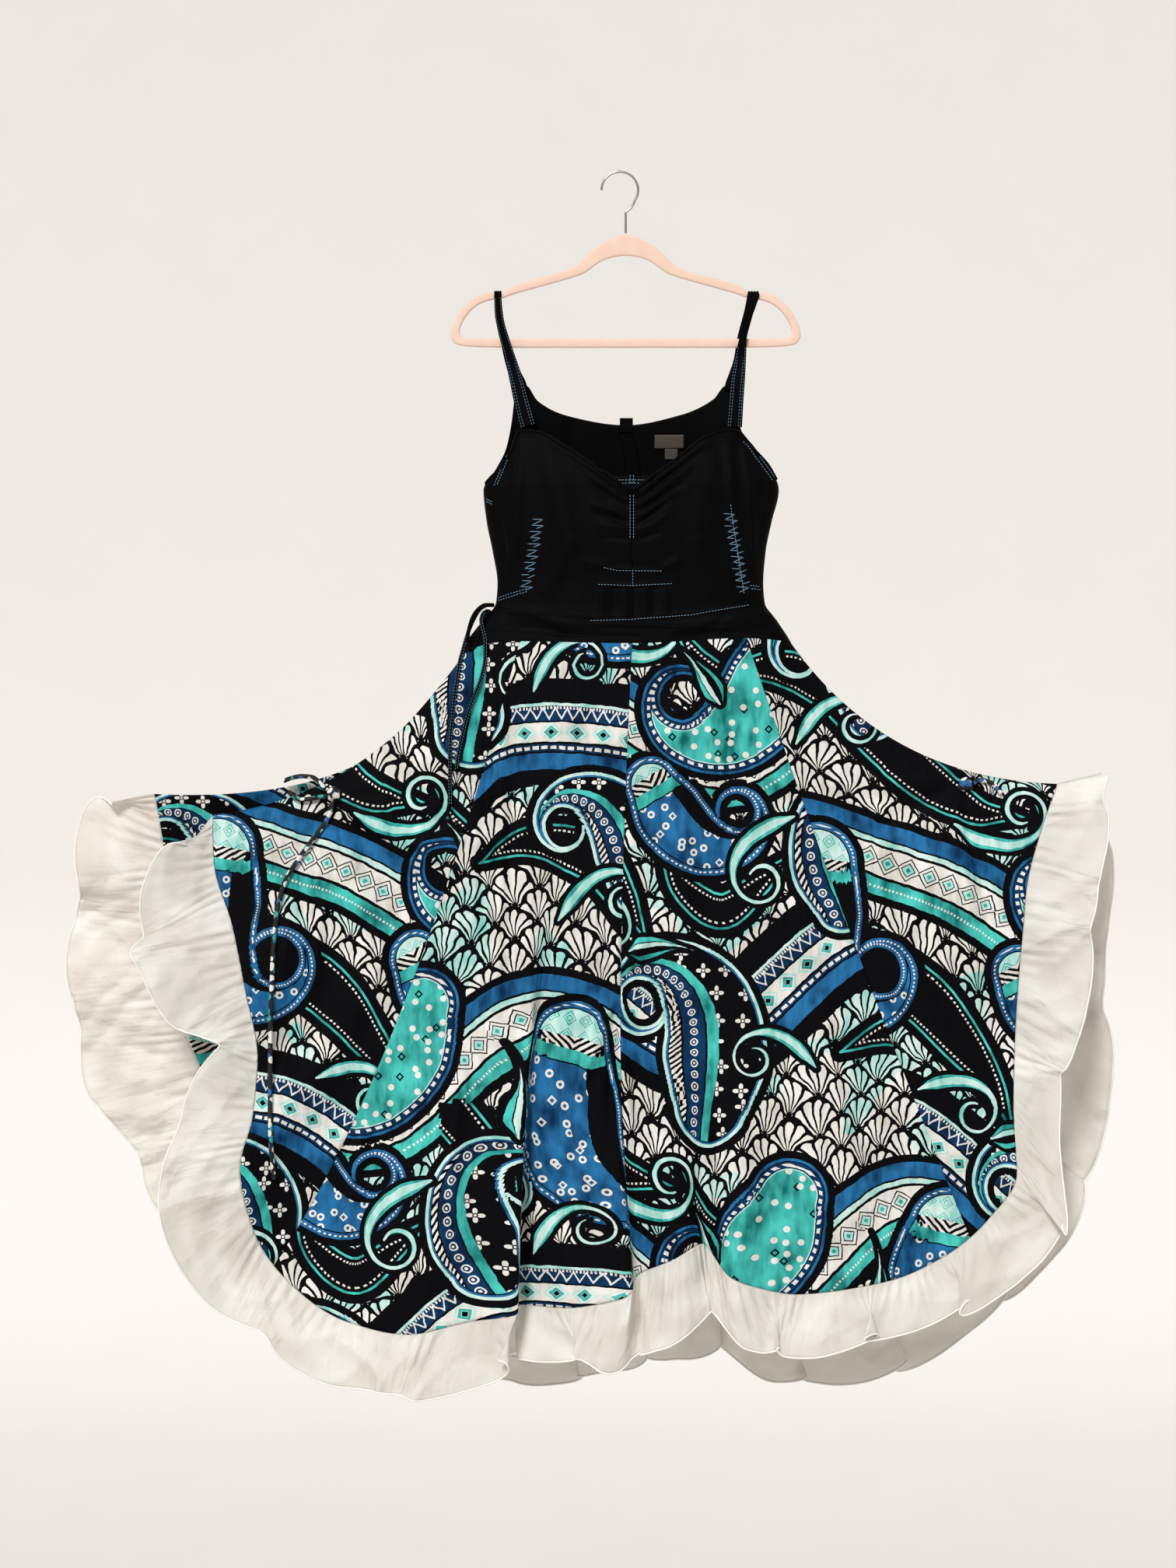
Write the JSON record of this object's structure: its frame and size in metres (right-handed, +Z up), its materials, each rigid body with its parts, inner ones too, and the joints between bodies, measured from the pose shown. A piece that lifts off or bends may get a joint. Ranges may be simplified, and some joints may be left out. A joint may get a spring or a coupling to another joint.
{
  "type": "boho dress on a velvet hanger",
  "caption": "Long flared strappy dress with a printed fan skirt and gathered sheer hem ruffle, hanging by its straps from a slim velvet hanger.",
  "frame": {"origin": "underside of the top of the hanger's hook, where it rests on a rail", "axes": "+X to the right as the dress is seen from its front, +Y from its front to its back, +Z up"},
  "size_m": [1.3492, 0.182, 1.5778],
  "materials": {
    "velvet": "pale peach-pink flocked velvet over a moulded core",
    "wire": "pale plated wire",
    "black_cotton": "black woven cotton with light blue top-stitching",
    "printed_cotton": "thin woven cotton, printed in teal, blue, white and black",
    "voile": "sheer ivory voile with a narrow rolled hem",
    "label_satin": "blank woven satin"
  },
  "bodies": {
    "root": {"hanger_body": "velvet", "hanger_hook": "wire", "side_front_left": "black_cotton", "side_front_right": "black_cotton", "bodice_front_left": "black_cotton", "bodice_front_right": "black_cotton", "centre_insert": "black_cotton", "bodice_back_left": "black_cotton", "bodice_back_right": "black_cotton", "back_placket": "black_cotton", "back_loop": "black_cotton", "neck_label": "label_satin", "size_tag": "label_satin", "binding_front_left": "black_cotton", "binding_front_right": "black_cotton", "strap_left": "black_cotton", "strap_right": "black_cotton", "yoke_front": "black_cotton", "yoke_back": "black_cotton", "waist_tie_outer": "black_cotton", "waist_tie_inner": "black_cotton", "skirt_front_side_left": "printed_cotton", "skirt_front_left": "printed_cotton", "skirt_front_right": "printed_cotton", "skirt_front_side_right": "printed_cotton", "skirt_back_side_left": "printed_cotton", "skirt_back_left": "printed_cotton", "skirt_back_right": "printed_cotton", "skirt_back_side_right": "printed_cotton", "bow_left_upper": "printed_cotton", "bow_left_lower": "printed_cotton", "bow_left_hanging": "printed_cotton", "bow_right_tail": "printed_cotton", "knot_left": "printed_cotton", "knot_right": "printed_cotton", "ruffle_front": "voile", "ruffle_back": "voile"}
  },
  "joints": []
}
